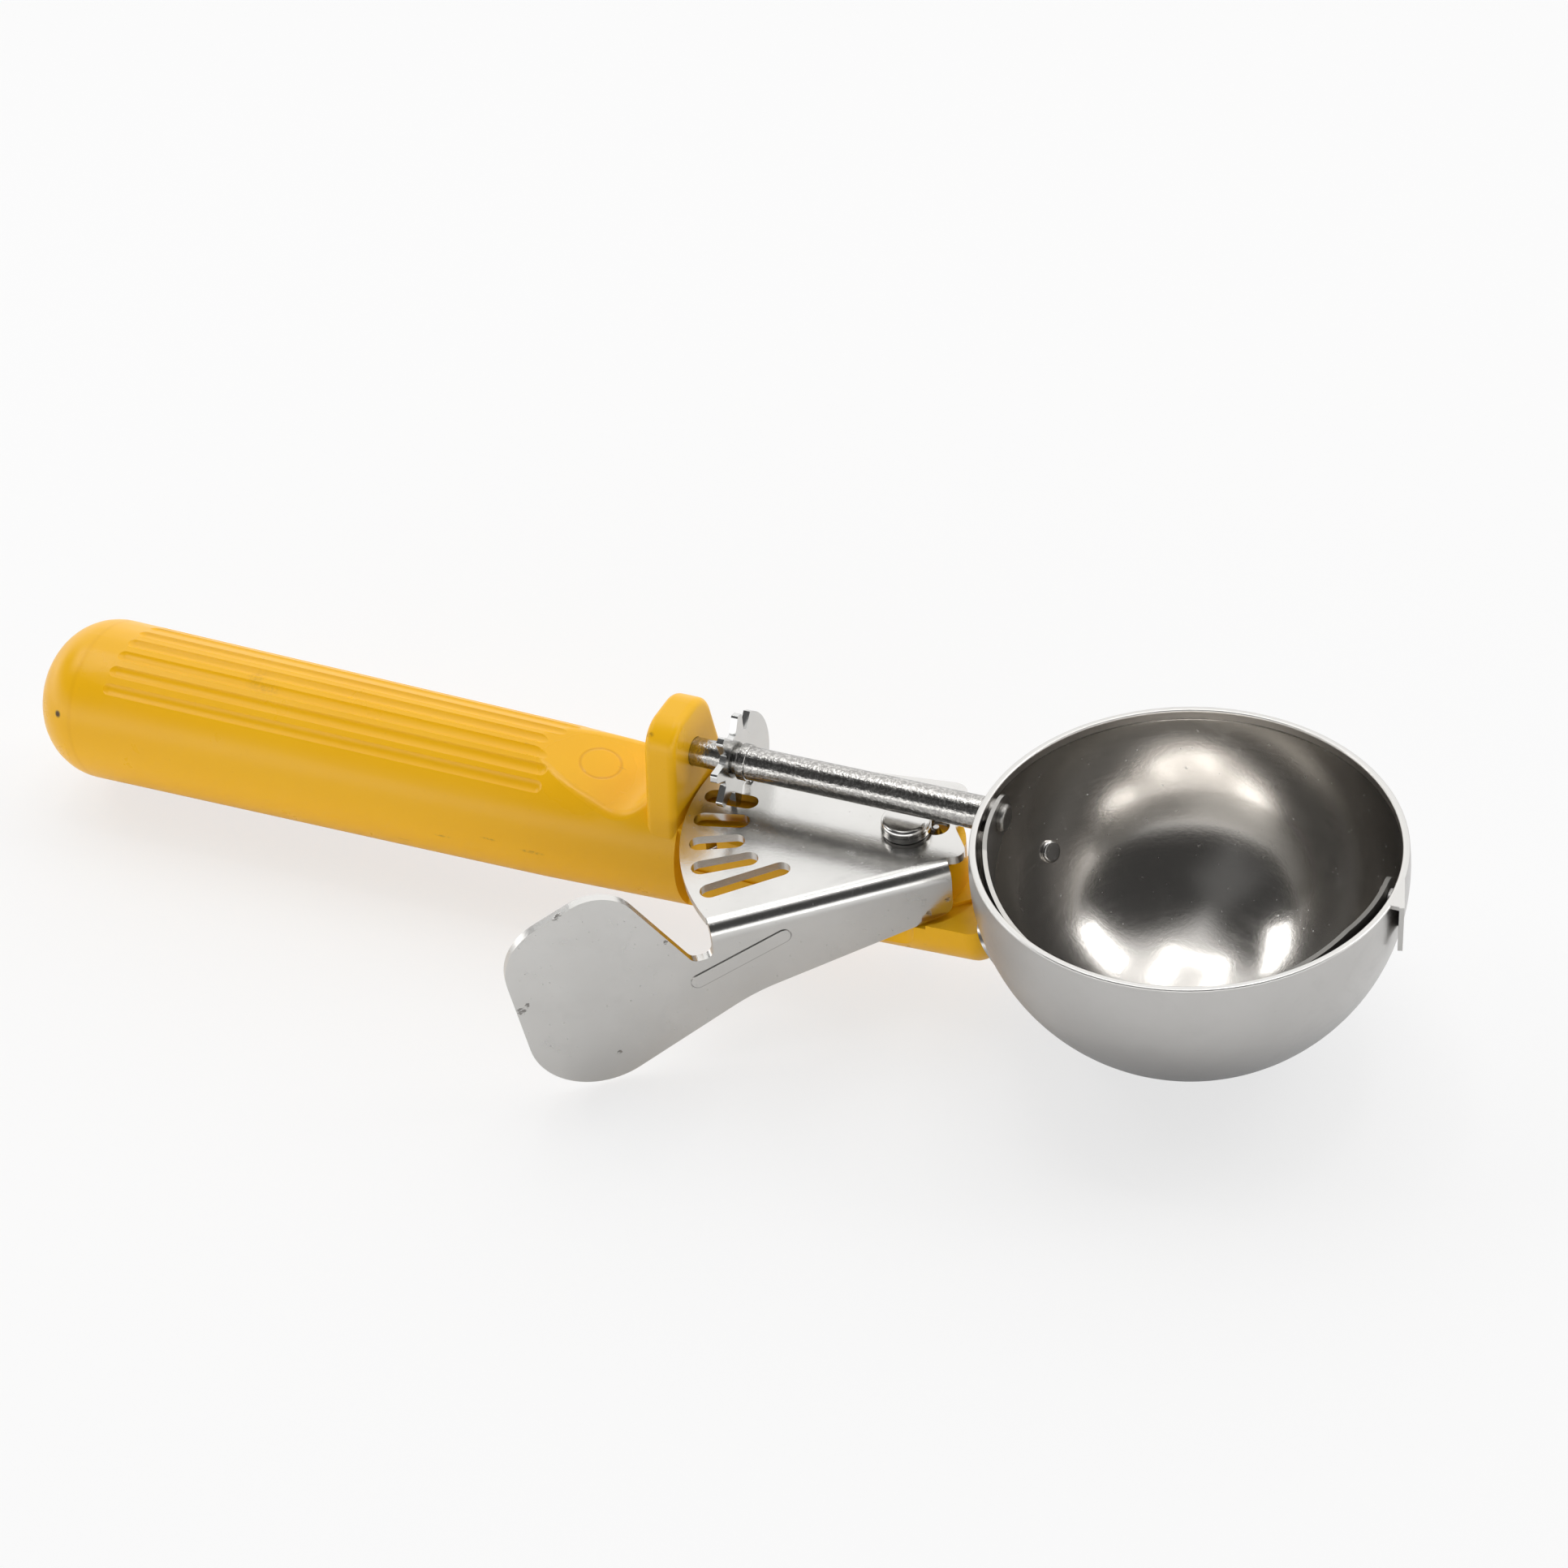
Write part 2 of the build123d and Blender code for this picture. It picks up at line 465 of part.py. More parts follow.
# ---------------------------------------------------------------- thumb lever
FOLD_START = FLANGE_DISTANCE - BEND_RADIUS  # pivot to the line where the plate starts to fold
PLATE_END = LEVER_PIVOT_X + PLATE_FAR[0]
BACK_FALL = math.tan(math.radians(PLATE_BACK_SLOPE)) * 2 * PLATE_RADIUS
NOTCH_INNER = NOTCH_EDGE - NOTCH_WIDTH
FLANGE_PLANE = Plane(origin=PIVOT + FOLD_OUT * FLANGE_DISTANCE, x_dir=FOLD_ALONG, z_dir=FOLD_OUT)
with BuildPart() as lever:
    with BuildSketch(Plane.XY.offset(PLATE_BOTTOM)):
        with Locations((LEVER_PIVOT_X, 0)):
            Circle(PLATE_RADIUS)
        with BuildLine():
            FilletPolyline(
                in_plan(FLANGE_END, FOLD_START),
                (LEVER_PIVOT_X + PLATE_LUG[0], PLATE_LUG[1]),
                (LEVER_PIVOT_X + PLATE_WAIST[0], PLATE_WAIST[1]),
                (PLATE_END, PLATE_FAR[1]),
                (PLATE_END - 2 * PLATE_RADIUS, PLATE_FAR[1] - BACK_FALL),
                in_plan(-2 * PLATE_RADIUS, FOLD_START),
                radius=[0, PLATE_CORNER_RADIUS, PLATE_CORNER_RADIUS, PLATE_FAR_RADIUS, 0, 0],
                close=True,
            )
        make_face(mode=Mode.INTERSECT)
    extrude(amount=PLATE_THICKNESS)
    fillet(lever.edges().filter_by(Axis.Z).sort_by(Axis.X)[0], PLATE_CORNER_RADIUS)
    # the fold, the flange below it and the thumb tab at its end
    with BuildSketch(Plane(origin=PIVOT + FOLD_ALONG * FLANGE_END, x_dir=FOLD_OUT, z_dir=-FOLD_ALONG)):
        with Locations((FOLD_START, PLATE_TOP - BEND_RADIUS)):
            Circle(BEND_RADIUS)
            Rectangle(BEND_RADIUS, BEND_RADIUS, align=Align.MIN, mode=Mode.INTERSECT)
            Circle(BEND_RADIUS - PLATE_THICKNESS, mode=Mode.SUBTRACT)
    extrude(amount=FLANGE_END - NOTCH_EDGE)
    with BuildSketch(FLANGE_PLANE):
        with BuildLine():
            FilletPolyline(
                on_flange((FLANGE_END, -BEND_RADIUS)),
                on_flange((FLANGE_TIP, -FLANGE_TIP_DEPTH)),
                on_flange(TAB_KNEE),
                on_flange(TAB_FOOT_CORNER),
                on_flange(TAB_LEFT_CORNER),
                on_flange(TAB_TOP_CORNER),
                on_flange((NOTCH_INNER, -NOTCH_DEPTH)),
                on_flange((NOTCH_EDGE, -NOTCH_DEPTH)),
                on_flange((NOTCH_EDGE, -BEND_RADIUS)),
                radius=[
                    0,
                    FLANGE_TIP_ROUND,
                    TAB_KNEE_ROUND,
                    TAB_FOOT_ROUND,
                    TAB_LEFT_ROUND,
                    TAB_TOP_ROUND,
                    NOTCH_RADIUS,
                    NOTCH_RADIUS,
                    0,
                ],
                close=True,
            )
        make_face()
    extrude(amount=-PLATE_THICKNESS)
    # pressed rib along the flange
    RIB = Vector(RIB_END[0] - RIB_START[0], RIB_END[1] - RIB_START[1], 0)
    with BuildSketch(FLANGE_PLANE):
        middle = ((RIB_START[0] + RIB_END[0]) / 2, PLATE_TOP + (RIB_START[1] + RIB_END[1]) / 2, 0)
        with Locations(Location(middle, (0, 0, math.degrees(math.atan2(RIB.Y, RIB.X))))):
            SlotOverall(RIB.length, RIB_WIDTH)
    extrude(amount=RIB_HEIGHT)
    # slots that take the wheel's teeth in turn, the pivot's hole and the hole for the spring's hook
    with BuildSketch(Plane.XY.offset(PLATE_BOTTOM)):
        for slot, span in enumerate(SLOT_INNER_SPANS):
            inner_radius = WHEEL_REACH - span
            angle = 180 + SLOT_FIRST_ANGLE + slot * SLOT_PITCH
            reach = (inner_radius + SLOT_OUTER_RADIUS) / 2
            with Locations(Location(PIVOT + Vector(reach, 0, 0).rotate(Axis.Z, angle), (0, 0, angle))):
                SlotCenterToCenter(SLOT_OUTER_RADIUS - inner_radius, SLOT_WIDTH)
        with Locations((LEVER_PIVOT_X, 0)):
            Circle(RIVET_SHANK_RADIUS + RUNNING)
        with Locations(PIVOT + Vector(SPRING_MEAN_RADIUS, 0, 0).rotate(Axis.Z, SPRING_HOOK_ANGLE)):
            Circle(HOOK_HOLE_RADIUS)
    extrude(amount=PLATE_THICKNESS, mode=Mode.SUBTRACT)
lever.part.label = "lever"

# ---------------------------------------------------------------- pivot stack
with BuildPart() as pivot_rivet:
    with BuildSketch(Plane(origin=PIVOT, x_dir=(1, 0, 0), z_dir=(0, -1, 0))):
        with BuildLine():
            FilletPolyline(
                (0, TAIL_TOP - RIVET_TAIL_HEIGHT),
                (RIVET_TAIL_RADIUS, TAIL_TOP - RIVET_TAIL_HEIGHT),
                (RIVET_TAIL_RADIUS, TAIL_TOP),
                (RIVET_SHANK_RADIUS, TAIL_TOP),
                (RIVET_SHANK_RADIUS, HEAD_FOOT),
                (RIVET_HEAD_RADIUS, HEAD_FOOT),
                (RIVET_HEAD_RADIUS, HEAD_FOOT + RIVET_HEAD_HEIGHT),
                (0, HEAD_FOOT + RIVET_HEAD_HEIGHT),
                radius=[0, RIVET_HEAD_ROUND, 0, 0, 0, 0, RIVET_HEAD_ROUND, 0],
                close=True,
            )
        make_face()
    revolve(axis=Axis(PIVOT, (0, 0, 1)))
pivot_rivet.part.label = "pivot_rivet"


def pivot_ring(foot, height, radius):
    """Flat ring round the pivot rivet."""
    with BuildPart() as ring:
        with BuildSketch(Plane.XY.offset(foot)):
            with Locations((LEVER_PIVOT_X, 0)):
                Circle(radius)
                Circle(RIVET_SHANK_RADIUS + RUNNING, mode=Mode.SUBTRACT)
        extrude(amount=height)
    return ring


pivot_washer = pivot_ring(WASHER_FOOT, WASHER_THICKNESS, WASHER_RADIUS)
pivot_washer.part.label = "pivot_washer"
wave_washer = pivot_ring(WAVE_FOOT, WAVE_WASHER_THICKNESS, WAVE_WASHER_RADIUS)
wave_washer.part.label = "wave_washer"
pivot_spacer = pivot_ring(TONGUE_TOP, SPACER_TOP - TONGUE_TOP, SPACER_RADIUS)
pivot_spacer.part.label = "pivot_spacer"

# ---------------------------------------------------------------- torsion spring
coil = Helix(SPRING_PITCH, COIL_HEIGHT, SPRING_MEAN_RADIUS, lefthand=True)
coil = coil.moved(Location((LEVER_PIVOT_X, 0, COIL_FOOT), (0, 0, SPRING_START_ANGLE)))
with BuildPart() as torsion_spring:
    with BuildSketch(Plane(origin=coil @ 0, z_dir=coil % 0)):
        Circle(SPRING_WIRE / 2)
    sweep(path=coil, is_frenet=True)
    # long leg along the tongue, with a short hook at its end, and the post that enters the lever
    for start, direction, length in (
        (LEG_START, LEG_DIRECTION, LEG_LENGTH),
        (LEG_BEND, LEG_HOOK, LEG_HOOK_LENGTH),
        (coil @ 1, Vector(0, 0, 1), PLATE_TOP - SEAT_GAP - (coil @ 1).Z),
    ):
        with BuildSketch(Plane(origin=start, z_dir=direction)):
            Circle(SPRING_WIRE / 2)
        extrude(amount=length)
        with Locations(start):
            Sphere(SPRING_WIRE / 2)
torsion_spring.part.label = "torsion_spring"

# ---------------------------------------------------------------- tang and saddle
SADDLE_INNER = BOWL_RADIUS + SADDLE_SEAT
SADDLE_OUTER = SADDLE_INNER + SADDLE_THICKNESS
with BuildPart() as tang:
    with BuildSketch(Plane.YZ):
        with Locations((0, -(SADDLE_TOP_DEPTH + SADDLE_FOOT_DEPTH) / 2)):
            RectangleRounded(2 * SADDLE_HALF_WIDTH, SADDLE_FOOT_DEPTH - SADDLE_TOP_DEPTH, SADDLE_ROUND)
    extrude(amount=-SADDLE_OUTER)
    with Locations(BOWL_CENTRE):
        Sphere(SADDLE_OUTER, mode=Mode.INTERSECT)
    with BuildSketch(Plane.XY.offset(TANG_BOTTOM)):
        with Locations((TANG_START_X, 0)):
            Rectangle(-TANG_START_X, TANG_WIDTH, align=(Align.MIN, Align.CENTER))
    extrude(amount=TANG_THICKNESS)
    with Locations(BOWL_CENTRE):
        Sphere(SADDLE_INNER, mode=Mode.SUBTRACT)
    for side in (-1, 1):
        with BuildSketch(radial_plane(side)):
            Circle(BOWL_RIVET_RADIUS + FIT)
        extrude(amount=SADDLE_OUTER + 1, mode=Mode.SUBTRACT)
    with BuildSketch(Plane.XY.offset(TANG_BOTTOM)):
        with Locations((LEVER_PIVOT_X, 0)):
            Circle(RIVET_SHANK_RADIUS + FIT)
    extrude(amount=TANG_THICKNESS, mode=Mode.SUBTRACT)
tang.part.label = "tang"

# ---------------------------------------------------------------- handle
KEEL_CORNER_X = LEVER_PIVOT_X + (KEEL_OUT + FOLD_OUT.Y * KEEL_FRONT) / FOLD_OUT.X
GRIP_LENGTH = HANDLE_GRIP_END_X - HANDLE_BUTT_X
GRIP_TAPER = (HANDLE_BUTT_RADIUS - HANDLE_GRIP_RADIUS) / GRIP_LENGTH
SLOPE_TOP = HANDLE_AXIS_Z + HANDLE_BUTT_RADIUS - GRIP_TAPER * (SLOPE_START_X - HANDLE_BUTT_X)
SLOPE_FALL = (SLOPE_TOP + SLOPE_FOOT_DEPTH) / (EAR_BACK_X - SLOPE_START_X)
with BuildPart() as handle:
    # ear that carries the shaft's journal
    with BuildSketch(Plane.YZ.offset(EAR_BACK_X)):
        with BuildLine():
            FilletPolyline(
                (-EAR_FOOT_HALF, HANDLE_AXIS_Z),
                (-EAR_TOP_HALF, EAR_TOP),
                (EAR_TOP_HALF, EAR_TOP),
                (EAR_FOOT_HALF, HANDLE_AXIS_Z),
                radius=[0, EAR_CORNER, EAR_CORNER, 0],
                close=True,
            )
        make_face()
    extrude(amount=EAR_THICKNESS)
    faces = handle.faces().filter_by(Axis.X)
    fillet(faces.edges().filter_by(lambda edge: edge.center().Z > HANDLE_AXIS_Z + 1), EAR_ROUND)
    with BuildSketch(HANDLE_PLANE):
        with BuildLine():
            FilletPolyline(
                (HANDLE_BUTT_X, 0),
                (HANDLE_BUTT_X, HANDLE_BUTT_RADIUS),
                (HANDLE_GRIP_END_X, HANDLE_GRIP_RADIUS),
                (EAR_FRONT_X, HANDLE_SHOULDER_RADIUS),
                (NOSE_X, NOSE_RADIUS),
                (NOSE_X, 0),
                radius=[0, HANDLE_BUTT_ROUND, 0, 0, NOSE_ROUND, 0],
                close=True,
            )
        make_face()
    revolve(axis=HANDLE_LINE)
    # sloping top between the grip and the ear
    with BuildSketch(Plane.XZ):
        with BuildLine():
            FilletPolyline(
                (SLOPE_START_X + SLOPE_TOP / SLOPE_FALL, 0),
                (EAR_BACK_X, -SLOPE_FOOT_DEPTH),
                (EAR_BACK_X, 0),
                radius=[0, SLOPE_FOOT_ROUND, 0],
                close=True,
            )
        make_face()
    extrude(amount=HANDLE_BUTT_RADIUS, both=True, mode=Mode.SUBTRACT)
    flats = handle.faces().filter_by(GeomType.PLANE)
    slope = flats.filter_by(lambda face: 0.5 < face.normal_at().Z < 0.999)
    fillet(slope.edges().filter_by(lambda edge: abs(edge.center().Y) > 1), SLOPE_EDGE_ROUND)
    # tongue under the lever: flat top, flattened sides and a narrower keel that the flange swings past
    with BuildSketch(Plane.XY.offset(TONGUE_TOP)):
        with Locations((EAR_FRONT_X, 0)):
            Rectangle(-EAR_FRONT_X, 2 * HANDLE_BUTT_RADIUS, align=(Align.MIN, Align.CENTER))
    extrude(amount=-TONGUE_TOP, mode=Mode.SUBTRACT)
    with BuildSketch():
        for side in (-1, 1):
            with BuildLine():
                FilletPolyline(
                    (EAR_FRONT_X, side * TONGUE_HALF_WIDTH),
                    (TONGUE_END_X, side * TONGUE_HALF_WIDTH),
                    (TONGUE_END_X, side * 2 * TONGUE_HALF_WIDTH),
                    (EAR_FRONT_X, side * 2 * TONGUE_HALF_WIDTH),
                    radius=[0, TONGUE_END_ROUND, 0, 0],
                    close=True,
                )
            make_face()
    extrude(amount=2 * HANDLE_AXIS_Z, mode=Mode.SUBTRACT)
    with BuildSketch(Plane.XY.offset(-NOSE_TOP_DEPTH)):
        with Locations((LEVER_PIVOT_X, 0)):
            Rectangle(-LEVER_PIVOT_X, 2 * HANDLE_BUTT_RADIUS, align=(Align.MIN, Align.CENTER))
            Circle(TONGUE_HALF_WIDTH, mode=Mode.SUBTRACT)
    extrude(amount=NOSE_TOP_DEPTH, mode=Mode.SUBTRACT)
    with BuildSketch(Plane.XY.offset(-NOSE_SIDE_DEPTH)):
        with Locations((LEVER_PIVOT_X, NOSE_HALF_WIDTH)):
            Rectangle(-LEVER_PIVOT_X, HANDLE_BUTT_RADIUS, align=Align.MIN)
        with Locations((LEVER_PIVOT_X, 0)):
            Circle(TONGUE_HALF_WIDTH, mode=Mode.SUBTRACT)
    extrude(amount=NOSE_SIDE_DEPTH, mode=Mode.SUBTRACT)
    with BuildSketch(Plane.XY.offset(-KEEL_FOOT_DEPTH)):
        with Locations((LEVER_PIVOT_X, 0)):
            Circle(SWEEP_RADIUS)
            Rectangle(LEVER_PIVOT_X - EAR_FRONT_X, 2 * TONGUE_HALF_WIDTH, align=Align.MAX)
        Polygon(
            (EAR_FRONT_X, -KEEL_FRONT),
            (KEEL_CORNER_X, -KEEL_FRONT),
            in_plan(2 * SWEEP_RADIUS, KEEL_OUT),
            (0, -2 * SWEEP_RADIUS),
            (EAR_FRONT_X, -2 * SWEEP_RADIUS),
            align=None,
            mode=Mode.INTERSECT,
        )
    extrude(amount=KEEL_FOOT_DEPTH, mode=Mode.SUBTRACT)
    with Locations(BOWL_CENTRE):
        Sphere(SADDLE_OUTER + NOSE_SEAT, mode=Mode.SUBTRACT)
    # pocket for the tang
    with BuildSketch(Plane.XY.offset(TANG_BOTTOM - TANG_GAP)):
        with Locations((TANG_START_X - TANG_GAP, 0)):
            Rectangle(-TANG_START_X, TANG_WIDTH + 2 * TANG_GAP, align=(Align.MIN, Align.CENTER))
    extrude(amount=TANG_THICKNESS + 2 * TANG_GAP, mode=Mode.SUBTRACT)
    # bores for the shaft's journal and the pivot rivet, with a pocket for the rivet's tail
    with BuildSketch(Plane.YZ.offset(EAR_BACK_X)):
        with Locations((0, AXIS_Z)):
            Circle(JOURNAL_RADIUS + RUNNING)
    extrude(amount=EAR_THICKNESS, mode=Mode.SUBTRACT)
    with BuildSketch(Plane.XY.offset(TONGUE_TOP)):
        with Locations((LEVER_PIVOT_X, 0)):
            Circle(RIVET_SHANK_RADIUS + FIT)
    extrude(amount=2 * HANDLE_AXIS_Z, mode=Mode.SUBTRACT)
    with BuildSketch(Plane.XY.offset(TANG_BOTTOM)):
        with Locations((LEVER_PIVOT_X, 0)):
            Circle(RIVET_TAIL_RADIUS + RIVET_TAIL_CLEARANCE)
    extrude(amount=2 * HANDLE_AXIS_Z, mode=Mode.SUBTRACT)
    # recess for the spring's coil round a boss, and the groove its long leg lies in
    with BuildSketch(Plane.XY.offset(TONGUE_TOP)):
        with Locations((LEVER_PIVOT_X, 0)):
            Circle(SPRING_MEAN_RADIUS + SPRING_WIRE / 2 + SPRING_SIDE_GAP)
        with Locations(Location(LEG_START + LEG_DIRECTION * LEG_LENGTH / 2, (0, 0, SPRING_START_ANGLE - 90))):
            SlotCenterToCenter(LEG_LENGTH, SPRING_WIRE + 2 * LEG_SIDE_GAP)
        with Locations(
            Location(
                LEG_BEND + LEG_HOOK * LEG_HOOK_LENGTH / 2, (0, 0, SPRING_START_ANGLE - 90 + LEG_HOOK_ANGLE)
            )
        ):
            SlotCenterToCenter(LEG_HOOK_LENGTH, SPRING_WIRE + 2 * LEG_SIDE_GAP)
        with Locations((LEVER_PIVOT_X, 0)):
            Circle(SPACER_RADIUS, mode=Mode.SUBTRACT)
    extrude(amount=RECESS_FLOOR - TONGUE_TOP, mode=Mode.SUBTRACT)
    # finger flutes along the top of the grip, with round ends
    for flute in range(FLUTE_COUNT):
        around = (flute - (FLUTE_COUNT - 1) / 2) * FLUTE_PITCH_ANGLE
        outward = Vector(0, 0, 1).rotate(Axis.X, around)
        start, end = (
            Vector(x, 0, HANDLE_AXIS_Z)
            + outward * (HANDLE_BUTT_RADIUS - GRIP_TAPER * (x - HANDLE_BUTT_X) + FLUTE_RADIUS - FLUTE_DEPTH)
            for x in (FLUTE_START_X, FLUTE_END_X)
        )
        with BuildSketch(Plane(origin=(start + end) / 2, x_dir=end - start, z_dir=(end - start).cross(outward))):
            SlotCenterToCenter((end - start).length, 2 * FLUTE_RADIUS)
            Rectangle(
                (end - start).length + 2 * FLUTE_RADIUS,
                FLUTE_RADIUS,
                align=(Align.CENTER, Align.MIN),
                mode=Mode.INTERSECT,
            )
        revolve(axis=Axis(start, end - start), mode=Mode.SUBTRACT)
handle.part.label = "handle"

os.makedirs("parts", exist_ok=True)
for piece in (
    handle,
    tang,
    bowl,
    bowl_rivets,
    scraper_blade,
    scraper_pin,
    scraper_shaft,
    star_wheel,
    lever,
    pivot_rivet,
    pivot_washer,
    wave_washer,
    pivot_spacer,
    torsion_spring,
):
    export_step(piece.part, f"parts/{piece.part.label}.step")
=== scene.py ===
import math

import bmesh
import bpy
from mathutils import Matrix, Vector


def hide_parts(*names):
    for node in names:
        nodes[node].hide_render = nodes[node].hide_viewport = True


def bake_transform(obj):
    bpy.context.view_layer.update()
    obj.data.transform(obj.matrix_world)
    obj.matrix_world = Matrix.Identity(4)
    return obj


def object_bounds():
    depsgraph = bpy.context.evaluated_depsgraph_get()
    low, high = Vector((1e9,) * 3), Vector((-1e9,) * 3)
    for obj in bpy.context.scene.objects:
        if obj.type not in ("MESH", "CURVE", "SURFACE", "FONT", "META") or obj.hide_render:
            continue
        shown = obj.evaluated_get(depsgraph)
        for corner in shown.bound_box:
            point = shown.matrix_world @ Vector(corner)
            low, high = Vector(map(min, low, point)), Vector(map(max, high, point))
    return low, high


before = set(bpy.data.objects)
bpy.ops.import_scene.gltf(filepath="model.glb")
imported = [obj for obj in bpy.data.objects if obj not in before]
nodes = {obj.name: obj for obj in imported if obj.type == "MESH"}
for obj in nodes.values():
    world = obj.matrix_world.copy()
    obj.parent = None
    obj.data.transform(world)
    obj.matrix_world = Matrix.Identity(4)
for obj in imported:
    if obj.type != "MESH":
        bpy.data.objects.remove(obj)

solid_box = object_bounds()
MM = 0.001

# places on the scoop, in millimetres, that the finishes follow
BOWL_CENTRE = (0.0, 0.0, -3.5)
BOWL_INNER_RADIUS = 26.3
LEVER_PIVOT_X = -38.4
PLATE_TOP_Z = -8.5
FLANGE_TURN = math.radians(39.8)  # flange against the handle
RIB_START = (-32.2, -8.6)  # along the fold from the pivot, above the plate's top
RIB_END = (-18.7, -4.0)
RIB_HALF_WIDTH = 1.05
RIB_END_INSET = 1.0
GATE_MARK = (-168.7, -10.75, -12.35)
EJECTOR_RING = (-83.8, 0.1, -8.8)
EJECTOR_RING_RADIUS = 2.85
BUTT_LINE_X = -166.6
SLOPE_POLISH = (-84.5, -2.0, -8.5)
SCRIBED_LINE_Z = -1.55
TURNED_BAND_Z = (-1.5, -1.3)  # where the band starts and where it is full
BOWL_SCRATCH = (10.7, 15.9, -21.5)
PEENED_END_X = (-27.6, -26.6)  # where the dull end starts and where it is full
BLADE_FAR_X = (2.0, 12.0)  # where the painted shade on the blade starts and where it is darkest
# dark rubs on the handle: middle, half sizes, strength
HANDLE_RUBS = (
    ((-90.3, -10.8, -17.7), (2.4, 2.0, 0.35), 0.60),
    ((-104.6, -10.9, -18.5), (1.8, 2.0, 0.28), 0.50),
    ((-97.0, -10.9, -17.0), (1.6, 2.0, 0.22), 0.45),
    ((-138.6, -1.2, -5.7), (1.8, 2.6, 2.0), 0.22),
    ((-135.9, -2.5, -6.3), (2.6, 1.4, 2.0), 0.22),
    ((-72.3, -4.6, 2.6), (0.9, 0.4, 1.1), 0.60),
)
# nicks at the tab's edge and the flange's end: middle, size
LEVER_NICKS = (
    ((-69.0, -37.8, -0.2), 0.9),
    ((-74.0, -42.0, -14.3), 0.8),
    ((-73.4, -41.4, -13.6), 0.5),
    ((-32.6, -7.4, -15.2), 0.5),
    ((-30.6, -5.7, -13.6), 0.5),
    ((-65.3, -34.8, -25.4), 0.45),
    ((-59.0, -29.5, -8.9), 0.4),
)


# ---------------------------------------------------------------- shader graphs
class Signal:
    """Output of a node. Arithmetic on it adds Math nodes to the same graph."""

    def __init__(self, graph, socket):
        self.graph = graph
        self.socket = socket

    def math(self, operation, first, second=0.0, clamp=False):
        return self.graph.node(
            "ShaderNodeMath", {"operation": operation, "use_clamp": clamp}, {0: first, 1: second}
        )

    def __add__(self, other):
        return self.math("ADD", self, other)

    __radd__ = __add__

    def __sub__(self, other):
        return self.math("SUBTRACT", self, other)

    def __rsub__(self, other):
        return self.math("SUBTRACT", other, self)

    def __mul__(self, other):
        return self.math("MULTIPLY", self, other)

    __rmul__ = __mul__

    def __truediv__(self, other):
        return self.math("DIVIDE", self, other)

    def __rtruediv__(self, other):
        return self.math("DIVIDE", other, self)

    def __pow__(self, other):
        return self.math("POWER", self, other)

    def __abs__(self):
        return self.math("ABSOLUTE", self)

    def clamped(self):
        return self.math("ADD", self, 0.0, clamp=True)


class Graph:
    """A node tree that is filled by one method."""

    def __init__(self, tree):
        self.tree = tree

    def node(self, kind, settings=None, sockets=None, output=0):
        made = self.tree.nodes.new(kind)
        for key, value in (settings or {}).items():
            setattr(made, key, value)
        for key, value in (sockets or {}).items():
            self.join(value, made.inputs[key])
        return Signal(self, made.outputs[output])

    def join(self, value, socket):
        if isinstance(value, Signal):
            self.tree.links.new(value.socket, socket)
        elif isinstance(value, tuple) and len(value) == 3 and socket.type == "RGBA":
            socket.default_value = (*value, 1.0)
        else:
            socket.default_value = value

    def axes(self, vector):
        return (self.node("ShaderNodeSeparateXYZ", sockets={0: vector}, output=axis) for axis in "XYZ")

    def step(self, value, low, high, bottom=0.0, top=1.0):
        """Bottom below low, top above high and a smooth rise between them."""
        return self.node(
            "ShaderNodeMapRange",
            {"interpolation_type": "SMOOTHSTEP"},
            {"Value": value, "From Min": low, "From Max": high, "To Min": bottom, "To Max": top},
        )


